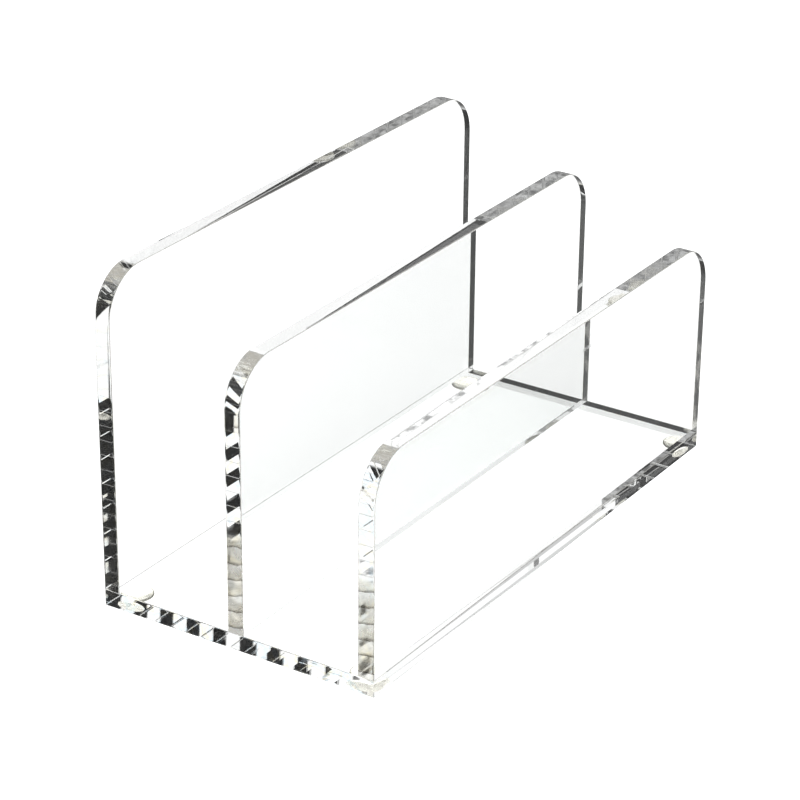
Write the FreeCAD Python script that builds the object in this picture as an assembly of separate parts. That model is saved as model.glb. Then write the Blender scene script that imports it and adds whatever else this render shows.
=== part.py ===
import FreeCAD, Part
import math
import os

# Clear letter sorter: a base plate that carries three upright dividers, stepped down from rear to front.
# X runs along the dividers, Y from the front (low) divider to the rear (tall) one, Z up from the desk.
# The origin is on the desk, under the middle of the base plate. Lengths are in millimetres.

# Base plate
base_length = 212.0
base_depth = 105.0
base_thickness = 6.0
base_edge_round = 0.25

# Dividers, each measured from the top of the base plate
divider_thickness = 6.0
rear_divider_height = 111.0
middle_divider_height = 93.0
front_divider_height = 75.0
top_corner_radius = 16.0
divider_edge_round = 0.25

# Self-adhesive bumpers under the four corners
bumper_diameter = 11.0
bumper_height = 2.0
bumper_skirt_height = 0.5
bumper_contact_diameter = 3.0
bumper_side_inset = 7.5
bumper_end_inset = 7.5
adhesive_thickness = 0.2
adhesive_edge_margin = 0.4

# An edge round takes at most this share of the wall it runs along
round_limit_share = 0.45

# Levels and places that follow from the sizes above
adhesive_bottom = bumper_height
base_bottom = adhesive_bottom + adhesive_thickness
base_top = base_bottom + base_thickness
half_length = base_length / 2
half_depth = base_depth / 2
pocket_width = (base_depth - 3 * divider_thickness) / 2
divider_pitch = pocket_width + divider_thickness
front_divider_y = -half_depth
middle_divider_y = front_divider_y + divider_pitch
rear_divider_y = middle_divider_y + divider_pitch

UP = FreeCAD.Vector(0, 0, 1)
ORIGIN = FreeCAD.Vector(0, 0, 0)


def limited_round(radius, wall):
    """Gives the edge round's radius, kept inside the wall it runs along."""
    return min(radius, round_limit_share * wall)


def base_plate():
    """The rectangular plate that the dividers stand on, with every edge eased by polishing."""
    corner = FreeCAD.Vector(-half_length, -half_depth, base_bottom)
    plate = Part.makeBox(base_length, base_depth, base_thickness, corner)
    edge_round = limited_round(base_edge_round, base_thickness)
    return plate.makeFillet(edge_round, plate.Edges).Solids[0]


def mark_footprints(plate, dividers):
    """The plate with the dividers' footprints as faces of their own, where the cement bonds them.

    What lies between two footprints is then one clear face: the floor of a pocket.
    """
    _, images = plate.generalFuse(dividers)
    return images[0][0]


def divider_outline(height, y):
    """The divider's closed outline in the plane y: square at its foot, rounded at the two top corners."""
    radius = top_corner_radius
    top = base_top + height
    bow = radius * (1 - math.sqrt(0.5))
    left_foot = FreeCAD.Vector(-half_length, y, base_top)
    left_tangent = FreeCAD.Vector(-half_length, y, top - radius)
    left_bow = FreeCAD.Vector(-half_length + bow, y, top - bow)
    left_top = FreeCAD.Vector(-half_length + radius, y, top)
    right_top = FreeCAD.Vector(half_length - radius, y, top)
    right_bow = FreeCAD.Vector(half_length - bow, y, top - bow)
    right_tangent = FreeCAD.Vector(half_length, y, top - radius)
    right_foot = FreeCAD.Vector(half_length, y, base_top)
    edges = [
        Part.LineSegment(left_foot, left_tangent).toShape(),
        Part.Arc(left_tangent, left_bow, left_top).toShape(),
        Part.LineSegment(left_top, right_top).toShape(),
        Part.Arc(right_top, right_bow, right_tangent).toShape(),
        Part.LineSegment(right_tangent, right_foot).toShape(),
        Part.LineSegment(right_foot, left_foot).toShape(),
    ]
    return Part.Wire(edges)


def exposed_edges(panel):
    """The edges of a square-cut panel that are polished round: all round both long faces but for the foot."""
    touch = Part.Precision.confusion()
    exposed = []
    for edge in panel.Edges:
        middle = edge.valueAt((edge.FirstParameter + edge.LastParameter) / 2)
        runs_along_face = edge.BoundBox.YLength < divider_thickness / 2
        at_foot = math.isclose(middle.z, base_top, abs_tol=touch)
        if runs_along_face and not at_foot:
            exposed.append(edge)
    return exposed


def divider(height, y):
    """One upright panel whose front face lies in the plane y.

    The polished edge round follows both long faces up one end, over the two rounded top corners
    and down the other end. The foot stays square, because it is cemented to the base plate.
    """
    panel = Part.Face(divider_outline(height, y)).extrude(FreeCAD.Vector(0, divider_thickness, 0))
    edge_round = limited_round(divider_edge_round, divider_thickness)
    return panel.makeFillet(edge_round, exposed_edges(panel))


def bumper(x, y):
    """A domed bumper: flat on top where it is stuck on, a short skirt, and a small flat under the dome."""
    radius = bumper_diameter / 2
    contact = bumper_contact_diameter / 2
    dome_height = bumper_height - bumper_skirt_height
    sphere_centre = (radius ** 2 + dome_height ** 2 - contact ** 2) / (2 * dome_height)
    sphere_radius = math.hypot(contact, sphere_centre)
    start_angle = math.asin(contact / sphere_radius)
    end_angle = math.asin(radius / sphere_radius)
    middle_angle = (start_angle + end_angle) / 2
    dome_middle = FreeCAD.Vector(
        sphere_radius * math.sin(middle_angle),
        0,
        sphere_centre - sphere_radius * math.cos(middle_angle),
    )
    axis_bottom = ORIGIN
    contact_rim = FreeCAD.Vector(contact, 0, 0)
    skirt_bottom = FreeCAD.Vector(radius, 0, dome_height)
    skirt_top = FreeCAD.Vector(radius, 0, bumper_height)
    axis_top = FreeCAD.Vector(0, 0, bumper_height)
    edges = [
        Part.LineSegment(axis_bottom, contact_rim).toShape(),
        Part.Arc(contact_rim, dome_middle, skirt_bottom).toShape(),
        Part.LineSegment(skirt_bottom, skirt_top).toShape(),
        Part.LineSegment(skirt_top, axis_top).toShape(),
        Part.LineSegment(axis_top, axis_bottom).toShape(),
    ]
    profile = Part.Face(Part.Wire(edges))
    dome = profile.revolve(ORIGIN, UP, 360)
    dome.translate(FreeCAD.Vector(x, y, 0))
    return dome


def adhesive(x, y):
    """The thin clear adhesive disc between a bumper and the base plate, set in from the bumper's rim."""
    radius = bumper_diameter / 2 - adhesive_edge_margin
    centre = FreeCAD.Vector(x, y, adhesive_bottom)
    return Part.makeCylinder(radius, adhesive_thickness, centre, UP)


def bumper_places():
    """The four bumper centres by corner name."""
    x = half_length - bumper_end_inset
    y = half_depth - bumper_side_inset
    return {
        "front_left": (-x, -y),
        "front_right": (x, -y),
        "rear_left": (-x, y),
        "rear_right": (x, y),
    }


def sub_parts():
    """Every separate piece of the sorter, by its node name."""
    pieces = {
        "rear_divider": divider(rear_divider_height, rear_divider_y),
        "middle_divider": divider(middle_divider_height, middle_divider_y),
        "front_divider": divider(front_divider_height, front_divider_y),
    }
    pieces["base_plate"] = mark_footprints(base_plate(), list(pieces.values()))
    for corner, (x, y) in bumper_places().items():
        pieces["bumper_" + corner] = bumper(x, y)
        pieces["adhesive_" + corner] = adhesive(x, y)
    return pieces


os.makedirs("parts", exist_ok=True)
for name, shape in sub_parts().items():
    if not shape.isValid() or len(shape.Solids) != 1:
        raise ValueError(f"{name} is not one valid solid")
    shape.exportStep(os.path.join("parts", name + ".step"))
    box = shape.optimalBoundingBox()
    print(f"{name}: z {box.ZMin:.2f} to {box.ZMax:.2f} mm, volume {shape.Volume:.1f} cubic mm")
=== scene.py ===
"""Finishes, studio and camera for the clear acrylic letter sorter."""
import logging
import math
from dataclasses import dataclass, field
from enum import Enum
from typing import Any

import bpy
from mathutils import Matrix, Vector


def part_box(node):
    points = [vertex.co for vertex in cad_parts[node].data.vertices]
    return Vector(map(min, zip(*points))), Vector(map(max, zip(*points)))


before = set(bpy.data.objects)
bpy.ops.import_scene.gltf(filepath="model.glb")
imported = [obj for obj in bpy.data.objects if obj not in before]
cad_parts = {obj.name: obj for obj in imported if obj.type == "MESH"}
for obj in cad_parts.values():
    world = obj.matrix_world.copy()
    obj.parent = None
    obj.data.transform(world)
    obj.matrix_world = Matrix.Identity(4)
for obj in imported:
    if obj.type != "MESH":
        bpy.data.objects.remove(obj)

MM = 0.001
BODY = "root"
LOG = logging.getLogger("letter_sorter")

Socket = bpy.types.NodeSocket
Value = Socket | float
Colour = tuple[float, float, float, float]

WHITE: Colour = (1.0, 1.0, 1.0, 1.0)
NO_PLACE = (0.0, 0.0, 0.0)
HALF_TURN = 180.0


class Slot(Enum):
    """Names of the material slots."""

    ACRYLIC = "clear_acrylic"
    BUMPER = "bumper"
    ADHESIVE = "adhesive"


class SheetAxis(Enum):
    """The direction in which a piece of sheet is thin, so which of its faces are the cast ones."""

    Y = (0.0, 1.0, 0.0)
    Z = (0.0, 0.0, 1.0)


class SheetFinish(Enum):
    """The finishes of the clear sheets, by the names of their materials."""

    BASE = "clear_acrylic_base"
    DIVIDER = "clear_acrylic_divider"
    REAR_DIVIDER = "clear_acrylic_rear"


class Graph:
    """Adds nodes to one node tree, sets their sockets and links them."""

    def __init__(self, tree: bpy.types.NodeTree) -> None:
        """Keeps the tree and empties it.

        Args:
            tree: the node tree to build in.
        """
        self.tree = tree
        tree.nodes.clear()

    def add(self, kind: str, inputs: dict[str | int, Any] | None = None, **settings: Any) -> bpy.types.Node:
        """Adds one node.

        Args:
            kind: the node's type name.
            inputs: what each named or numbered input gets, a value or a socket to link from.
            settings: the node's own properties.

        Returns:
            The new node.
        """
        node = self.tree.nodes.new(kind)
        for name, value in settings.items():
            setattr(node, name, value)
        for name, value in (inputs or {}).items():
            self.feed(node.inputs[name], value)
        return node

    def feed(self, socket: Socket, value: Any) -> None:
        """Links a socket, or sets its plain value.

        Args:
            socket: the input to feed.
            value: another socket, or a plain value.
        """
        if isinstance(value, bpy.types.NodeSocket):
            self.tree.links.new(value, socket)
        else:
            socket.default_value = value

    def math(self, operation: str, *values: Value, clamp: bool = False) -> Socket:
        """Works out one number.

        Args:
            operation: the Math node's operation.
            values: its operands, numbers or sockets.
            clamp: whether the result is kept from 0 to 1.

        Returns:
            The result's socket.
        """
        node = self.add("ShaderNodeMath", dict(enumerate(values)), operation=operation, use_clamp=clamp)
        return node.outputs[0]

    def vector(self, operation: str, *values: Any, output: str = "Vector") -> Socket:
        """Works out one vector, or a number from vectors.

        Args:
            operation: the Vector Math node's operation.
            values: its operands, vectors or sockets.
            output: the output wanted, Vector or Value.

        Returns:
            The result's socket.
        """
        node = self.add("ShaderNodeVectorMath", dict(enumerate(values)), operation=operation)
        return node.outputs[output]

    def chain(self, operation: str, values: tuple[Value, ...]) -> Socket:
        """Works out one number from many, two at a time.

        Args:
            operation: the Math node's operation.
            values: one or more numbers or sockets.

        Returns:
            The result's socket.
        """
        result = values[0]
        for value in values[1:]:
            result = self.math(operation, result, value)
        return result

    def product(self, *values: Value) -> Socket:
        """Multiplies two or more numbers and gives the product's socket."""
        return self.chain("MULTIPLY", values)

    def greatest(self, *values: Value) -> Socket:
        """Gives the socket of the largest of two or more numbers."""
        return self.chain("MAXIMUM", values)

    def inverse(self, mask: Value) -> Socket:
        """Gives 1 where the mask is 0, and 0 where it is 1."""
        return self.math("SUBTRACT", 1.0, mask)

    def magnitude(self, value: Value) -> Socket:
        """Gives a number without its sign."""
        return self.math("ABSOLUTE", value)

    def below(self, value: Value, limit: Value) -> Socket:
        """Gives 1 where value is less than limit, and 0 elsewhere."""
        return self.math("LESS_THAN", value, limit)

    def above(self, value: Value, limit: Value) -> Socket:
        """Gives 1 where value is more than limit, and 0 elsewhere."""
        return self.math("GREATER_THAN", value, limit)

    def ramp(self, value: Value, start: float, end: float, low: float = 0.0, high: float = 1.0) -> Socket:
        """Carries a value smoothly from one level to another.

        Args:
            value: the number that drives the change.
            start: where the change starts.
            end: where it ends.
            low: the result up to start.
            high: the result from end on.

        Returns:
            The result's socket.
        """
        inputs = {"Value": value, "From Min": start, "From Max": end, "To Min": low, "To Max": high}
        return self.add("ShaderNodeMapRange", inputs, interpolation_type="SMOOTHSTEP").outputs["Result"]

    def blend(self, share: Value, first: Value, second: Value) -> Socket:
        """Gives a number between two others: the first where share is 0, the second where it is 1."""
        inputs = {"Factor": share, "A": first, "B": second}
        return self.add("ShaderNodeMix", inputs, data_type="FLOAT").outputs["Result"]

    def mix_colour(self, share: Value, first: Any, second: Any, way: str = "MIX") -> Socket:
        """Gives a colour between two others: the first where share is 0, the second where it is 1.

        Args:
            share: how much of the second colour there is.
            first: the first colour or its socket.
            second: the second colour or its socket.
            way: the Mix node's way to blend them.

        Returns:
            The colour's socket.
        """
        node = self.add("ShaderNodeMix", data_type="RGBA", blend_type=way)
        colours = [socket for socket in node.inputs if socket.type == "RGBA"]
        self.feed(node.inputs["Factor"], share)
        self.feed(colours[0], first)
        self.feed(colours[1], second)
        return next(socket for socket in node.outputs if socket.type == "RGBA")

    def multiply_colour(self, first: Any, second: Any) -> Socket:
        """Gives one colour seen through another."""
        return self.mix_colour(1.0, first, second, "MULTIPLY")

    def split(self, vector: Socket) -> tuple[Socket, Socket, Socket]:
        """Gives a vector's three numbers."""
        node = self.add("ShaderNodeSeparateXYZ", {"Vector": vector})
        return node.outputs["X"], node.outputs["Y"], node.outputs["Z"]

    def join(self, x: Value, y: Value, z: Value) -> Socket:
        """Makes one vector of three numbers."""
        return self.add("ShaderNodeCombineXYZ", {"X": x, "Y": y, "Z": z}).outputs["Vector"]

    def noise(self, vector: Socket, scale: float, detail: float = 2.0, roughness: float = 0.5) -> Socket:
        """Gives smooth noise from 0 to 1.

        Args:
            vector: where it is read.
            scale: its patches for each unit of that vector.
            detail: how many finer layers it has.
            roughness: how strong they are.

        Returns:
            The noise's socket.
        """
        inputs = {"Vector": vector, "Scale": scale, "Detail": detail, "Roughness": roughness}
        return self.add("ShaderNodeTexNoise", inputs).outputs["Fac"]

    def bump(self, height: Socket) -> Socket:
        """Gives the normal of a surface with this relief, in metres."""
        node = self.add("ShaderNodeBump", {"Height": height, "Distance": 1.0, "Strength": 1.0})
        return node.outputs["Normal"]

    def group(self, tree: bpy.types.NodeTree, inputs: dict[str, Any]) -> Any:
        """Places a node group with its own values.

        Args:
            tree: the group.
            inputs: what each of its inputs gets.

        Returns:
            The group's outputs, by name.
        """
        node = self.add("ShaderNodeGroup", node_tree=tree)
        for name, value in inputs.items():
            self.feed(node.inputs[name], value)
        return node.outputs

    def surface(self, values: dict[str, Any]) -> None:
        """Puts a Principled shader with these values at the end of the material.

        Args:
            values: what each of the shader's inputs gets.
        """
        shader = self.add("ShaderNodeBsdfPrincipled", values)
        self.add("ShaderNodeOutputMaterial", {"Surface": shader.outputs["BSDF"]})


def new_material(name: str) -> tuple[Graph, bpy.types.Material]:
    """Starts a material.

    Args:
        name: the material's name.

    Returns:
        The graph to build in, and the material.
    """
    material = bpy.data.materials.new(name)
    material.use_nodes = True
    return Graph(material.node_tree), material


def new_group(name: str, inputs: dict[str, tuple[str, Any]], outputs: dict[str, str]) -> tuple[Graph, Any, Any]:
    """Starts a shader node group with named inputs and outputs.

    Args:
        name: the group's name.
        inputs: each input's socket type and default.
        outputs: each output's socket type.

    Returns:
        The graph to build in, the group's inputs, and the node that takes its outputs.
    """
    tree = bpy.data.node_groups.new(name, "ShaderNodeTree")
    for title, (kind, default) in inputs.items():
        socket = tree.interface.new_socket(title, in_out="INPUT", socket_type=kind)
        socket.default_value = default
    for title, kind in outputs.items():
        tree.interface.new_socket(title, in_out="OUTPUT", socket_type=kind)
    graph = Graph(tree)
    taken = graph.add("NodeGroupInput").outputs
    given = graph.add("NodeGroupOutput").inputs
    return graph, taken, given


@dataclass(frozen=True)
class SorterSizes:
    """What the finishes and the studio need of the sorter's sizes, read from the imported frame."""

    base_low: Vector
    base_high: Vector
    divider_middles: tuple[float, ...]
    divider_thickness: float
    bumper_x: float
    bumper_y: float
    adhesive_radius: float
    adhesive_low: float
    base_edge_round: float = 0.25 * MM

    @classmethod
    def from_frame(cls) -> "SorterSizes":
        """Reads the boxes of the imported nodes.

        Returns:
            The sizes, in metres.
        """
        base_low, base_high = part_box("base_plate")
        middles = []
        for name in ("front_divider", "middle_divider", "rear_divider"):
            low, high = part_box(name)
            middles.append((low.y + high.y) / 2)
        pad_low, pad_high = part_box("adhesive_rear_right")
        return cls(
            base_low=base_low,
            base_high=base_high,
            divider_middles=tuple(middles),
            divider_thickness=high.y - low.y,
            bumper_x=(pad_low.x + pad_high.x) / 2,
            bumper_y=(pad_low.y + pad_high.y) / 2,
            adhesive_radius=(pad_high.x - pad_low.x) / 2,
            adhesive_low=pad_low.z,
        )


@dataclass(frozen=True)
class BondMask:
    """Where two pieces are bonded without air between them, so that light crosses the joint undisturbed."""

    sizes: SorterSizes
    level_tolerance: float = 0.02 * MM
    flat_share: float = 0.99

    def build(self) -> bpy.types.NodeTree:
        """Makes the group.

        Returns:
            A node group whose Bond output is 1 on the cemented footprints and over the adhesive discs.
        """
        graph, _, given = new_group("bonded_contact", {}, {"Bond": "NodeSocketFloat"})
        place = graph.add("ShaderNodeTexCoord").outputs["Object"]
        normal = graph.add("ShaderNodeNewGeometry").outputs["True Normal"]
        x, y, z = graph.split(place)
        wide = graph.magnitude(x)
        deep = graph.magnitude(y)
        flat = graph.above(graph.magnitude(graph.split(normal)[2]), self.flat_share)
        sizes = self.sizes
        footprints = [
            graph.below(graph.magnitude(graph.math("SUBTRACT", y, middle)), sizes.divider_thickness / 2)
            for middle in sizes.divider_middles
        ]
        cemented = graph.product(
            graph.greatest(*footprints),
            graph.below(wide, sizes.base_high.x - sizes.base_edge_round),
            graph.below(deep, sizes.base_high.y - sizes.base_edge_round),
            self.at_level(graph, z, sizes.base_high.z),
        )
        corner = graph.join(
            graph.math("SUBTRACT", wide, sizes.bumper_x),
            graph.math("SUBTRACT", deep, sizes.bumper_y),
            0.0,
        )
        stuck = graph.product(
            graph.below(graph.vector("LENGTH", corner, output="Value"), sizes.adhesive_radius),
            graph.greatest(
                self.at_level(graph, z, sizes.base_low.z),
                self.at_level(graph, z, sizes.adhesive_low),
            ),
        )
        graph.feed(given["Bond"], graph.product(flat, graph.greatest(cemented, stuck)))
        return graph.tree

    def at_level(self, graph: Graph, height: Socket, level: float) -> Socket:
        """Gives 1 where height is at this level, within the tolerance."""
        return graph.below(graph.magnitude(graph.math("SUBTRACT", height, level)), self.level_tolerance)


@dataclass(frozen=True)
class BuffedEdge:
    """The relief of a sheet's edge: buffing rolls the ends off towards both faces and leaves faint ripples.

    The saw leaves the ends of the dividers a little out of square, and buffing keeps that.
    """

    half_thickness: float
    out_of_square: float = 0.65
    roll_width: float = 0.7 * MM
    roll_radius: float = 9.0 * MM
    ripple_height: float = 0.003 * MM
    ripple_scale: float = 260.0
    swell_height: float = 0.006 * MM
    swell_scale: float = 70.0
    detail: float = 1.0

    def build(self) -> bpy.types.NodeTree:
        """Makes the group.

        Returns:
            A node group that takes the place, the distance Across the sheet from its middle plane, the Edge
            mask and the Ends mask, and gives the edge's Height in metres.
        """
        inputs = {
            "Place": ("NodeSocketVector", NO_PLACE),
            "Across": ("NodeSocketFloat", 0.0),
            "Edge": ("NodeSocketFloat", 1.0),
            "Ends": ("NodeSocketFloat", 1.0),
        }
        graph, taken, given = new_group("buffed_edge", inputs, {"Height": "NodeSocketFloat"})
        flat = self.half_thickness - self.roll_width
        apart = graph.magnitude(taken["Across"])
        beyond = graph.math("MAXIMUM", graph.math("SUBTRACT", apart, flat), 0.0)
        roll = graph.math("DIVIDE", graph.math("POWER", beyond, 2.0), -2.0 * self.roll_radius)
        slope = graph.math("MULTIPLY", taken["Across"], math.tan(math.radians(self.out_of_square)))
        rolled = graph.math("MULTIPLY", graph.math("ADD", roll, slope), taken["Ends"])
        fine = graph.noise(taken["Place"], self.ripple_scale, self.detail)
        coarse = graph.noise(taken["Place"], self.swell_scale, self.detail)
        ripple = graph.math("MULTIPLY", fine, self.ripple_height)
        swell = graph.math("MULTIPLY", coarse, self.swell_height)
        relief = graph.math("ADD", rolled, graph.math("ADD", ripple, swell))
        graph.feed(given["Height"], graph.math("MULTIPLY", relief, taken["Edge"]))
        return graph.tree


@dataclass(frozen=True)
class FootHazeAndShade:
    """The duller polish low down on the dividers' ends, where the buffing wheel meets the base plate.

    It goes with painted shade: a beige tint in slightly slanting bands, fading across each band, with a fine
    painted dark line between two bands, standing in for the light and shade that bounce along the sheet.
    """

    clear_above: float = 46.0 * MM
    full_below: float = 40.0 * MM
    roughness: float = 0.3
    least_dull_share: float = 0.2
    patch_scale: float = 150.0
    patch_limits: tuple[float, float] = (0.35, 0.65)
    wave_scale: float = 260.0
    wave_height: float = 2.0 * MM
    band_height: float = 5.7 * MM
    band_slant: float = 0.2
    band_depth: float = 0.55
    line_share: float = 0.24

    def build(self) -> bpy.types.NodeTree:
        """Makes the group.

        Returns:
            A node group that takes the place, the distance Across the sheet and the Ends mask, and gives the
            Band Shade and Lines masks of the painted shade, and the Roughness.
        """
        inputs = {
            "Place": ("NodeSocketVector", NO_PLACE),
            "Across": ("NodeSocketFloat", 0.0),
            "Ends": ("NodeSocketFloat", 1.0),
        }
        outputs = {"Band Shade": "NodeSocketFloat", "Lines": "NodeSocketFloat", "Roughness": "NodeSocketFloat"}
        graph, taken, given = new_group("foot_haze_and_shade", inputs, outputs)
        height = graph.split(taken["Place"])[2]
        low = graph.ramp(height, self.full_below, self.clear_above, 1.0, 0.0)
        patches = graph.ramp(graph.noise(taken["Place"], self.patch_scale), *self.patch_limits)
        wavy = graph.math("MULTIPLY", graph.noise(taken["Place"], self.wave_scale), self.wave_height)
        slanted = graph.math("MULTIPLY_ADD", taken["Across"], self.band_slant, graph.math("ADD", height, wavy))
        band = graph.math("FRACT", graph.math("DIVIDE", slanted, self.band_height))
        shade = graph.ramp(band, 0.0, 1.0, 1.0, 1.0 - self.band_depth)
        line = graph.ramp(band, 0.0, self.line_share, 1.0, 0.0)
        graph.feed(given["Band Shade"], graph.product(low, shade, taken["Ends"]))
        graph.feed(given["Lines"], graph.product(low, line, taken["Ends"]))
        patchy = graph.math("MULTIPLY_ADD", patches, 1.0 - self.least_dull_share, self.least_dull_share)
        graph.feed(given["Roughness"], graph.product(low, patchy, taken["Ends"], self.roughness))
        return graph.tree


@dataclass(frozen=True)
class ColourFringe:
    """Thin yellow and blue streaks side by side, where the sheet splits the light that leaves its edges."""

    scale: float = 210.0
    detail: float = 2.0
    detail_strength: float = 0.6
    middle_level: float = 0.5
    stretch: tuple[float, float, float] = (1.0, 0.45, 0.45)
    width: float = 0.035
    yellow: Colour = (1.0, 0.93, 0.66, 1.0)
    blue: Colour = (0.72, 0.88, 1.0, 1.0)

    def build(self) -> bpy.types.NodeTree:
        """Makes the group.

        Returns:
            A node group that takes the place and the Edge mask, and gives the colour that tints the light.
        """
        inputs = {
            "Place": ("NodeSocketVector", NO_PLACE),
            "Edge": ("NodeSocketFloat", 1.0),
        }
        graph, taken, given = new_group("colour_fringe", inputs, {"Color": "NodeSocketColor"})
        place = graph.vector("MULTIPLY", taken["Place"], self.stretch)
        level = graph.noise(place, self.scale, self.detail, self.detail_strength)
        warm = self.streak(graph, level, self.middle_level - self.width, taken["Edge"])
        cold = self.streak(graph, level, self.middle_level + self.width, taken["Edge"])
        first = graph.mix_colour(warm, WHITE, self.yellow)
        graph.feed(given["Color"], graph.mix_colour(cold, first, self.blue))
        return graph.tree

    def streak(self, graph: Graph, level: Socket, centre: float, edge: Socket) -> Socket:
        """Gives the mask of one streak, where the noise passes through the centre level."""
        away = graph.magnitude(graph.math("SUBTRACT", level, centre))
        return graph.product(graph.ramp(away, 0.0, self.width, 1.0, 0.0), edge)


@dataclass(frozen=True)
class HandlingMarks:
    """Hairlines and specks of dust on the cast faces, so faint that they only show close by."""

    hairline_scale: float = 420.0
    hairline_stretch: tuple[float, float, float] = (0.06, 1.0, 0.8)
    hairline_detail: float = 1.0
    hairline_limits: tuple[float, float] = (0.72, 0.78)
    speck_scale: float = 900.0
    speck_detail: float = 0.0
    speck_limits: tuple[float, float] = (0.84, 0.88)
    roughness: float = 0.06

    def build(self) -> bpy.types.NodeTree:
        """Makes the group.

        Returns:
            A node group that takes the place and the Face mask, and gives the marks' Roughness.
        """
        inputs = {
            "Place": ("NodeSocketVector", NO_PLACE),
            "Face": ("NodeSocketFloat", 1.0),
        }
        graph, taken, given = new_group("handling_marks", inputs, {"Roughness": "NodeSocketFloat"})
        stretched = graph.vector("MULTIPLY", taken["Place"], self.hairline_stretch)
        streaks = graph.noise(stretched, self.hairline_scale, self.hairline_detail)
        grains = graph.noise(taken["Place"], self.speck_scale, self.speck_detail)
        hairline = graph.ramp(streaks, *self.hairline_limits)
        speck = graph.ramp(grains, *self.speck_limits)
        marks = graph.product(graph.greatest(hairline, speck), taken["Face"])
        graph.feed(given["Roughness"], graph.math("MULTIPLY", marks, self.roughness))
        return graph.tree


@dataclass(frozen=True)
class AcrylicGroups:
    """The node groups that the acrylic finishes share."""

    bond: bpy.types.NodeTree
    edge: bpy.types.NodeTree
    haze_and_shade: bpy.types.NodeTree
    fringe: bpy.types.NodeTree
    marks: bpy.types.NodeTree


@dataclass(frozen=True)
class PolishedAcrylic:
    """Clear cast acrylic sheet with cast faces and polished edges.

    Where a path has turned in the sheet about trapped_depth times, the sheet glows in an even tint: painted glow
    that stands in for the light caught in the sheet.
    """

    finish: SheetFinish
    thin_along: SheetAxis
    first_middle: float
    pitch: float
    haze_and_shade_share: float = 1.0
    fringe_share: float = 0.3
    tint: Colour = (0.986, 0.995, 0.991, 1.0)
    # painted shade: the beige tint of the bands and the dark tint of the lines between them
    painted_band_tint: Colour = (0.66, 0.62, 0.49, 1.0)
    painted_line_shade: Colour = (0.07, 0.06, 0.05, 1.0)
    ior: float = 1.48
    edge_facing: float = 0.98
    end_limits: tuple[float, float] = (0.3, 0.9)
    trapped_depth: float = 60.5
    # painted glow: the beige tint that the sheet emits for paths that have turned about trapped_depth times
    painted_glow_tint: Colour = (0.5, 0.48, 0.43, 1.0)

    def build(self, groups: AcrylicGroups) -> bpy.types.Material:
        """Makes the material.

        Args:
            groups: the node groups for the bonds, the edges' relief, the duller ends with their painted band
                shade, the colours, and the faces' marks.

        Returns:
            The material.
        """
        graph, material = new_material(self.finish.value)
        contact = graph.group(groups.bond, {})["Bond"]
        place = graph.add("ShaderNodeTexCoord").outputs["Object"]
        normal = graph.add("ShaderNodeNewGeometry").outputs["True Normal"]
        along = graph.vector("DOT_PRODUCT", place, self.thin_along.value, output="Value")
        facing = graph.vector("DOT_PRODUCT", normal, self.thin_along.value, output="Value")
        from_first = graph.math("SUBTRACT", along, self.first_middle)
        across = graph.math("WRAP", from_first, self.pitch / 2, -self.pitch / 2)
        on_edge = graph.below(graph.magnitude(facing), self.edge_facing)
        endwise = graph.magnitude(graph.split(normal)[0])
        at_ends = graph.ramp(endwise, *self.end_limits)
        relief = {"Place": place, "Across": across, "Edge": on_edge, "Ends": at_ends}
        height = graph.group(groups.edge, relief)["Height"]
        hazed_and_shaded = graph.math("MULTIPLY", at_ends, self.haze_and_shade_share)
        dull_and_shaded = graph.group(groups.haze_and_shade, {"Place": place, "Across": across, "Ends": hazed_and_shaded})
        coloured = graph.math("MULTIPLY", endwise, self.fringe_share)
        fringe = graph.group(groups.fringe, {"Place": place, "Edge": coloured})["Color"]
        marks = graph.group(groups.marks, {"Place": place, "Face": graph.inverse(on_edge)})["Roughness"]
        # painted shade: a beige tint in bands and fine dark lines low on the ends, standing in for the light and
        # shade bounced along the sheet
        painted_band_colour = graph.mix_colour(dull_and_shaded["Band Shade"], self.tint, self.painted_band_tint)
        shaded_body = graph.mix_colour(dull_and_shaded["Lines"], painted_band_colour, self.painted_line_shade)
        depth = graph.add("ShaderNodeLightPath").outputs["Ray Depth"]
        painted_glow = graph.product(
            graph.above(depth, self.trapped_depth),
            graph.below(depth, self.trapped_depth + 1.0),
        )
        graph.surface(
            {
                "Base Color": graph.multiply_colour(shaded_body, fringe),
                "Roughness": graph.math("ADD", dull_and_shaded["Roughness"], marks),
                "IOR": self.ior,
                "Transmission Weight": 1.0,
                "Alpha": graph.inverse(contact),
                "Normal": graph.bump(height),
                # painted glow: the sheet emits this tint only for paths that have turned about trapped_depth times
                # in it
                "Emission Color": self.painted_glow_tint,
                "Emission Strength": painted_glow,
            }
        )
        return material


@dataclass(frozen=True)
class CastClouds:
    """Soft clouds and small bubbles in a poured or spread clear material."""

    cloud_scale: float = 320.0
    cloud_limits: tuple[float, float] = (0.35, 0.65)
    cloud_detail: float = 3.0
    bubble_scale: float = 1400.0
    bubble_size: float = 0.16

    def build(self) -> bpy.types.NodeTree:
        """Makes the group.

        Returns:
            A node group that takes the place, and gives the masks Clouds and Bubbles.
        """
        inputs = {"Place": ("NodeSocketVector", NO_PLACE)}
        outputs = {"Clouds": "NodeSocketFloat", "Bubbles": "NodeSocketFloat"}
        graph, taken, given = new_group("cast_clouds", inputs, outputs)
        clouds = graph.noise(taken["Place"], self.cloud_scale, self.cloud_detail)
        cells = graph.add("ShaderNodeTexVoronoi", {"Vector": taken["Place"], "Scale": self.bubble_scale})
        bubbles = graph.ramp(cells.outputs["Distance"], self.bubble_size / 2, self.bubble_size, 1.0, 0.0)
        graph.feed(given["Clouds"], graph.ramp(clouds, *self.cloud_limits))
        graph.feed(given["Bubbles"], bubbles)
        return graph.tree


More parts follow.
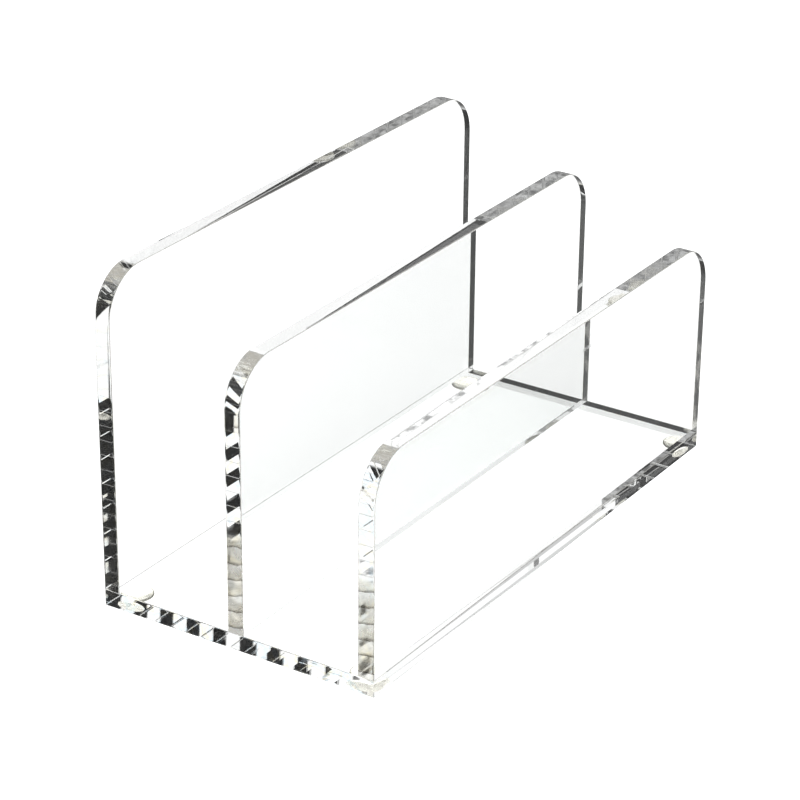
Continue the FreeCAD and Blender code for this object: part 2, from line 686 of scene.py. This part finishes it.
@dataclass(frozen=True)
class BumperPolyurethane:
    """The soft clear material of the bumpers, slightly yellow, with a scuffed flat where it stands."""

    name: str = "bumper_polyurethane"
    tint: Colour = (0.78, 0.765, 0.7, 1.0)
    cloudy_tint: Colour = (0.66, 0.645, 0.57, 1.0)
    ior: float = 1.49
    polish: float = 0.05
    scuff: float = 0.3
    scuffed_below: float = 0.3 * MM
    bubble_height: float = 0.02 * MM

    def build(self, bond: bpy.types.NodeTree, clouds: bpy.types.NodeTree) -> bpy.types.Material:
        """Makes the material.

        Args:
            bond: the group that says where pieces are bonded.
            clouds: the group that gives clouds and bubbles.

        Returns:
            The material.
        """
        graph, material = new_material(self.name)
        contact = graph.group(bond, {})["Bond"]
        place = graph.add("ShaderNodeTexCoord").outputs["Object"]
        cast = graph.group(clouds, {"Place": place})
        worn = graph.ramp(graph.split(place)[2], 0.0, self.scuffed_below, self.scuff, self.polish)
        bubbles = graph.math("MULTIPLY", cast["Bubbles"], self.bubble_height)
        graph.surface(
            {
                "Base Color": graph.mix_colour(cast["Clouds"], self.tint, self.cloudy_tint),
                "Roughness": worn,
                "IOR": self.ior,
                "Transmission Weight": 1.0,
                "Alpha": graph.inverse(contact),
                "Normal": graph.bump(bubbles),
            }
        )
        return material


@dataclass(frozen=True)
class AdhesiveFilm:
    """The thin clear adhesive between a bumper and the base plate, with clouds where it didn't wet."""

    name: str = "adhesive_film"
    tint: Colour = (0.86, 0.85, 0.78, 1.0)
    roughness: float = 0.4
    thin_share: float = 0.12
    cloudy_share: float = 0.32

    def build(self, clouds: bpy.types.NodeTree) -> bpy.types.Material:
        """Makes the material.

        Args:
            clouds: the group that gives clouds and bubbles.

        Returns:
            The material.
        """
        graph, material = new_material(self.name)
        place = graph.add("ShaderNodeTexCoord").outputs["Object"]
        cast = graph.group(clouds, {"Place": place})
        unwetted = graph.greatest(cast["Clouds"], cast["Bubbles"])
        graph.surface(
            {
                "Base Color": self.tint,
                "Roughness": self.roughness,
                "Alpha": graph.blend(unwetted, self.thin_share, self.cloudy_share),
            }
        )
        return material


@dataclass(frozen=True)
class SoftPanel:
    """One soft light panel of the studio, which stands upright and is seen from the sorter, in degrees."""

    azimuth: float
    half_width: float
    softness: float
    brightness: float


@dataclass(frozen=True)
class FootShadow:
    """The shadow on the floor at one divider's foot, measured from the divider's back face, in metres.

    It shows only to the right of first_x, and only in light that has made more turns in the sheets than
    fewest_turns and fewer than most_turns.
    """

    divider: int
    start: float
    slant: float
    first_x: float
    last_return: float
    fewest_turns: float
    most_turns: float
    end: float = 6.4 * MM


@dataclass(frozen=True)
class Studio:
    """Pale floor and soft panels round the sorter.

    What is seen plainly is pale. What the clear sheets show in their edges is set by the direction in which the
    light leaves them, by how many turns it has made in them, and by how many bonds it has crossed.
    """

    panels: tuple[SoftPanel, ...] = (
        SoftPanel(azimuth=31.0, half_width=64.5, softness=1.8, brightness=1.2),
        SoftPanel(azimuth=180.0, half_width=27.5, softness=5.5, brightness=0.14),
        SoftPanel(azimuth=225.0, half_width=40.0, softness=4.0, brightness=0.15),
    )
    dark_level: float = 0.018
    pale_level: float = 1.38
    reflected_level: float = 0.12
    return_level: float = 0.45
    return_strip: SoftPanel = SoftPanel(azimuth=151.2, half_width=0.72, softness=0.05, brightness=1.1)
    return_stand: SoftPanel = SoftPanel(azimuth=156.9, half_width=5.0, softness=0.05, brightness=1.0)
    dark_stand: SoftPanel = SoftPanel(azimuth=19.0, half_width=9.1, softness=0.05, brightness=1.0)
    dim_from: float = 33.0
    dim_share: float = 0.8
    plain_turns: float = 0.5
    guided_turns: float = 2.5
    steep_turns: float = 11.5
    bond_crossings: float = 0.5
    skimming_turns: float = 8.5
    skimming_share: float = 0.6
    side_softness: float = 0.3
    foot_shadow_level: float = 0.03
    under_foot: float = -1.0 * MM
    # painted light: patches of brighter and dimmer light on the floor, seen only in light that the sheets guide
    # down
    light_patch_reach_share: float = 2.0
    light_patch_scale: float = 170.0
    light_patch_detail: float = 4.0
    light_patch_strength: float = 0.6
    light_patch_limits: tuple[float, float] = (0.38, 0.62)
    light_patch_levels: tuple[float, float] = (0.35, 1.35)
    floor_level: float = -0.02 * MM
    floor_half_size: float = 3.0
    floor_tint: Colour = (0.5, 0.5, 0.5, 1.0)
    floor_glow: float = 0.69
    glow_under_base: float = 1.18
    foot_shadows: tuple[FootShadow, ...] = (
        FootShadow(
            divider=1,
            start=-5.7 * MM,
            slant=-0.0073,
            first_x=-2.0 * MM,
            last_return=-4.8 * MM,
            fewest_turns=5.5,
            most_turns=7.5,
        ),
        FootShadow(
            divider=2,
            start=-6.2 * MM,
            slant=-0.021,
            first_x=5.0 * MM,
            last_return=-2.3 * MM,
            fewest_turns=7.5,
            most_turns=10.5,
        ),
    )
    most_turns_in_sheets: int = 64
    most_soft_bounces: int = 4

    def build_world(self) -> None:
        """Makes the surroundings: pale for plain sight, and panels on dark for what the sheets' edges show."""
        world = bpy.data.worlds.new("studio")
        world.use_nodes = True
        graph = Graph(world.node_tree)
        direction = graph.add("ShaderNodeTexCoord").outputs["Generated"]
        x, y, z = graph.split(direction)
        azimuth = graph.math("MULTIPLY", graph.math("ARCTAN2", y, x), math.degrees(1.0))
        path = graph.add("ShaderNodeLightPath").outputs
        turns = path["Glossy Depth"]
        levels = [self.panel_level(graph, azimuth, panel) for panel in self.panels]
        wall = graph.greatest(self.dark_level, *levels)
        many = graph.above(turns, self.guided_turns)
        through_floor = graph.below(z, 0.0)
        upward = graph.above(z, 0.0)
        bonds = graph.math("SUBTRACT", path["Transparent Depth"], through_floor)
        crossed = graph.above(bonds, self.bond_crossings)
        backward = graph.ramp(x, -self.side_softness, self.side_softness, 1.0, 0.0)
        steep = graph.product(graph.below(turns, self.steep_turns), crossed, through_floor)
        stand = graph.product(self.panel_level(graph, azimuth, self.dark_stand), upward)
        low_right = graph.product(graph.below(azimuth, self.dim_from), through_floor, many)
        screened = graph.blend(stand, wall, self.dark_level)
        dimmed = graph.product(screened, graph.blend(low_right, 1.0, self.dim_share))
        lit = graph.blend(steep, dimmed, self.panels[0].brightness)
        in_base = graph.inverse(crossed)
        skimming = graph.product(in_base, upward, graph.below(turns, self.skimming_turns))
        forward_level = graph.product(lit, graph.blend(skimming, 1.0, self.skimming_share))
        strip = self.panel_level(graph, azimuth, self.return_strip)
        behind_stand = self.panel_level(graph, azimuth, self.return_stand)
        side_level = graph.greatest(strip, graph.blend(behind_stand, self.return_level, self.dark_level))
        returned = graph.blend(graph.product(crossed, through_floor), side_level, self.return_level)
        guided_level = graph.blend(graph.product(backward, many), forward_level, returned)
        guided = graph.greatest(many, backward)
        reflected = graph.blend(guided, self.reflected_level, guided_level)
        level = graph.blend(graph.above(turns, self.plain_turns), self.pale_level, reflected)
        background = graph.add("ShaderNodeBackground", {"Color": WHITE, "Strength": level})
        graph.add("ShaderNodeOutputWorld", {"Surface": background.outputs["Background"]})
        bpy.context.scene.world = world

    def panel_level(self, graph: Graph, azimuth: Socket, panel: SoftPanel) -> Socket:
        """Gives one panel's brightness in a direction.

        Args:
            graph: the graph to build in.
            azimuth: the direction's azimuth, in degrees.
            panel: the panel.

        Returns:
            The brightness's socket.
        """
        turned = graph.math("WRAP", graph.math("SUBTRACT", azimuth, panel.azimuth), HALF_TURN, -HALF_TURN)
        start = panel.half_width - panel.softness
        end = panel.half_width + panel.softness
        return graph.ramp(graph.magnitude(turned), start, end, panel.brightness, 0.0)

    def build_floor(self, sizes: SorterSizes) -> bpy.types.Object:
        """Makes the floor.

        Args:
            sizes: the sorter's sizes, which place the shadows at its feet.

        Returns:
            The floor.
        """
        half = self.floor_half_size
        mesh = bpy.data.meshes.new("floor")
        corners = [(-half, -half, 0.0), (half, -half, 0.0), (half, half, 0.0), (-half, half, 0.0)]
        mesh.from_pydata(corners, [], [(0, 1, 2, 3)])
        floor = bpy.data.objects.new("floor", mesh)
        floor.location.z = self.floor_level
        bpy.context.scene.collection.objects.link(floor)
        mesh.materials.append(self.floor_material(sizes))
        return floor

    def floor_material(self, sizes: SorterSizes) -> bpy.types.Material:
        """Makes the floor's material: pale and matt, and open to the light that leaves the sheets' edges.

        Args:
            sizes: the sorter's sizes.

        Returns:
            The material.
        """
        graph, material = new_material("pale_floor")
        turns = graph.add("ShaderNodeLightPath").outputs["Glossy Depth"]
        matt = graph.add("ShaderNodeBsdfDiffuse", {"Color": self.floor_tint}).outputs["BSDF"]
        # painted light: the floor glows brighter under the base plate, a pool of the light that the sheets gather
        # there
        strength = graph.blend(self.under_base(graph, sizes), self.floor_glow, self.glow_under_base)
        glow = graph.add("ShaderNodeEmission", {"Color": WHITE, "Strength": strength})
        lit = graph.add("ShaderNodeAddShader", {0: matt, 1: glow.outputs["Emission"]}).outputs["Shader"]
        passed = self.passed_share(graph, sizes, turns)
        grey = graph.add("ShaderNodeCombineColor", {"Red": passed, "Green": passed, "Blue": passed})
        clear = graph.add("ShaderNodeBsdfTransparent", {"Color": grey.outputs["Color"]}).outputs["BSDF"]
        reflected = graph.above(turns, self.plain_turns)
        mixed = graph.add("ShaderNodeMixShader", {0: reflected, 1: lit, 2: clear}).outputs["Shader"]
        graph.add("ShaderNodeOutputMaterial", {"Surface": mixed})
        return material

    def under_base(self, graph: Graph, sizes: SorterSizes) -> Socket:
        """Gives 1 on the floor under the base plate, where the sheets gather the studio's light.

        Args:
            graph: the graph to build in.
            sizes: the sorter's sizes.

        Returns:
            The mask's socket, 0 elsewhere on the floor.
        """
        along, depth, _ = graph.split(graph.add("ShaderNodeTexCoord").outputs["Object"])
        return graph.product(
            graph.below(graph.magnitude(along), sizes.base_high.x),
            graph.below(graph.magnitude(depth), sizes.base_high.y),
        )

    def passed_share(self, graph: Graph, sizes: SorterSizes, turns: Socket) -> Socket:
        """Gives how much of the light that the sheets guide down to the floor comes back from each place.

        Light with an odd count of turns reaches the floor straight in front of a divider's foot, and light with an
        even count behind it. Painted shadows show in straight light, and painted light patches in the rest.

        Args:
            graph: the graph to build in.
            sizes: the sorter's sizes.
            turns: how often the light has turned inside the sheets.

        Returns:
            The share's socket.
        """
        place = graph.add("ShaderNodeTexCoord").outputs["Object"]
        along, depth, _ = graph.split(place)
        odd = graph.math("FLOORED_MODULO", turns, 2.0)
        feet = []
        for middle in sizes.divider_middles:
            behind = graph.math("SUBTRACT", depth, middle + sizes.divider_thickness / 2)
            past_foot = graph.above(behind, self.under_foot)
            feet.append((behind, graph.magnitude(graph.math("SUBTRACT", odd, past_foot))))
        shades = []
        for shadow in self.foot_shadows:
            behind, straight = feet[shadow.divider]
            slanted = graph.math("MULTIPLY_ADD", along, shadow.slant, shadow.start)
            left = graph.product(graph.above(behind, slanted), graph.below(behind, shadow.last_return))
            right = graph.product(graph.above(behind, 0.0), graph.below(behind, shadow.end))
            enough = graph.above(turns, shadow.fewest_turns)
            counted = graph.product(enough, graph.below(turns, shadow.most_turns))
            near_end = graph.above(along, shadow.first_x)
            shades.append(graph.product(graph.greatest(left, right), straight, near_end, counted))
        reach = self.light_patch_reach_share * sizes.divider_thickness
        patches = [
            graph.product(graph.below(graph.magnitude(behind), reach), graph.inverse(straight))
            for behind, straight in feet
        ]
        patchy = graph.product(graph.greatest(*patches), graph.above(turns, self.guided_turns))
        # painted light: noise that makes the floor's guided light brighter and dimmer in patches
        clouds = graph.noise(place, self.light_patch_scale, self.light_patch_detail, self.light_patch_strength)
        patchy_light = graph.ramp(clouds, *self.light_patch_limits, *self.light_patch_levels)
        shaded = graph.blend(graph.greatest(*shades), 1.0, self.foot_shadow_level)
        return graph.product(shaded, graph.blend(patchy, 1.0, patchy_light))

    def set_light_limits(self) -> None:
        """Lets light bounce through the clear sheets often enough to come out again."""
        cycles = bpy.context.scene.cycles
        cycles.max_bounces = self.most_turns_in_sheets
        cycles.diffuse_bounces = self.most_soft_bounces
        cycles.glossy_bounces = self.most_turns_in_sheets
        cycles.transmission_bounces = self.most_turns_in_sheets
        cycles.transparent_max_bounces = self.most_turns_in_sheets
        cycles.caustics_reflective = True
        cycles.caustics_refractive = True
        cycles.blur_glossy = 0.0
        settings = bpy.context.scene.view_settings
        settings.view_transform = "Standard"
        settings.look = "None"


@dataclass(frozen=True)
class PhotoCamera:
    """The camera that sees the sorter as the photograph does."""

    azimuth: float = -57.124
    elevation: float = 25.434
    roll: float = 0.532
    distance: float = 0.97495
    aim: tuple[float, float, float] = (-0.01509, -0.00237, 0.055)
    lens: float = 131.855
    sensor_width: float = 36.0

    def build(self) -> bpy.types.Object:
        """Makes the camera and hands it to the scene.

        Returns:
            The camera.
        """
        turn = math.radians(self.azimuth)
        rise = math.radians(self.elevation)
        roll = math.radians(self.roll)
        back = Vector((math.sin(turn) * math.cos(rise), -math.cos(turn) * math.cos(rise), math.sin(rise)))
        level_right = Vector((0.0, 0.0, 1.0)).cross(back).normalized()
        level_up = back.cross(level_right)
        right = level_right * math.cos(roll) + level_up * math.sin(roll)
        up = level_up * math.cos(roll) - level_right * math.sin(roll)
        place = Vector(self.aim) + back * self.distance
        data = bpy.data.cameras.new("photo_camera")
        data.lens = self.lens
        data.sensor_width = self.sensor_width
        camera = bpy.data.objects.new("photo_camera", data)
        bpy.context.scene.collection.objects.link(camera)
        axes = Matrix((right, up, back)).transposed().to_4x4()
        camera.matrix_world = Matrix.Translation(place) @ axes
        bpy.context.scene.camera = camera
        return camera


@dataclass
class AcrylicBody:
    """The base plate and the three dividers cemented on it."""

    sizes: SorterSizes
    sheets: dict[str, SheetFinish] = field(default_factory=lambda: {
        "base_plate": SheetFinish.BASE,
        "front_divider": SheetFinish.DIVIDER,
        "middle_divider": SheetFinish.DIVIDER,
        "rear_divider": SheetFinish.REAR_DIVIDER,
    })
    base_haze_and_shade: float = 0.0
    base_fringe: float = 1.0
    rear_haze_and_shade: float = 0.2

    def dress(self, bond: bpy.types.NodeTree) -> None:
        """Gives each sheet its finish.

        Args:
            bond: the group that says where pieces are bonded.
        """
        sizes = self.sizes
        groups = AcrylicGroups(
            bond=bond,
            edge=BuffedEdge(sizes.divider_thickness / 2).build(),
            haze_and_shade=FootHazeAndShade().build(),
            fringe=ColourFringe().build(),
            marks=HandlingMarks().build(),
        )
        base_middle = (sizes.base_low.z + sizes.base_high.z) / 2
        first = sizes.divider_middles[0]
        pitch = sizes.divider_middles[1] - first
        finishes = (
            PolishedAcrylic(SheetFinish.BASE, SheetAxis.Z, base_middle, pitch, self.base_haze_and_shade, self.base_fringe),
            PolishedAcrylic(SheetFinish.DIVIDER, SheetAxis.Y, first, pitch),
            PolishedAcrylic(SheetFinish.REAR_DIVIDER, SheetAxis.Y, first, pitch, self.rear_haze_and_shade),
        )
        materials = {acrylic.finish: acrylic.build(groups) for acrylic in finishes}
        for name, finish in self.sheets.items():
            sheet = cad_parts[name]
            sheet.material_slots[0].material = materials[finish]
            sheet.visible_shadow = False
            LOG.info("%s: %s", name, finish.value)


@dataclass
class BumperFeet:
    """The four bumpers with their adhesive discs."""

    corners: tuple[str, ...] = ("front_left", "front_right", "rear_left", "rear_right")
    film_clearance: float = 0.02 * MM

    def dress(self, bond: bpy.types.NodeTree) -> None:
        """Gives each bumper and disc its finish, and keeps the film clear of both faces that it bonds.

        Args:
            bond: the group that says where pieces are bonded.
        """
        clouds = CastClouds().build()
        soft = BumperPolyurethane().build(bond, clouds)
        film = AdhesiveFilm().build(clouds)
        for corner in self.corners:
            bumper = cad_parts["bumper_" + corner]
            bumper.material_slots[0].material = soft
            bumper.visible_shadow = False
            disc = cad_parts["adhesive_" + corner]
            disc.material_slots[0].material = film
            weld = disc.modifiers.new("join_faces", "WELD")
            weld.merge_threshold = self.film_clearance / 2
            shrink = disc.modifiers.new("film_clearance", "DISPLACE")
            shrink.strength = -self.film_clearance
            shrink.mid_level = 0.0
            LOG.info("bumper_%s and adhesive_%s: dressed", corner, corner)


def main() -> None:
    """Dresses the sorter, and makes its studio and camera."""
    logging.basicConfig(level=logging.INFO, format="%(name)s: %(message)s")
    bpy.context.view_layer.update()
    sizes = SorterSizes.from_frame()
    bond = BondMask(sizes).build()
    AcrylicBody(sizes).dress(bond)
    BumperFeet().dress(bond)
    studio = Studio()
    studio.build_world()
    studio.build_floor(sizes)
    studio.set_light_limits()
    LOG.info("studio: %d soft panels and a pale floor", len(studio.panels))
    camera = PhotoCamera().build()
    LOG.info("camera: %s", camera.name)


if __name__ == "__main__":
    main()
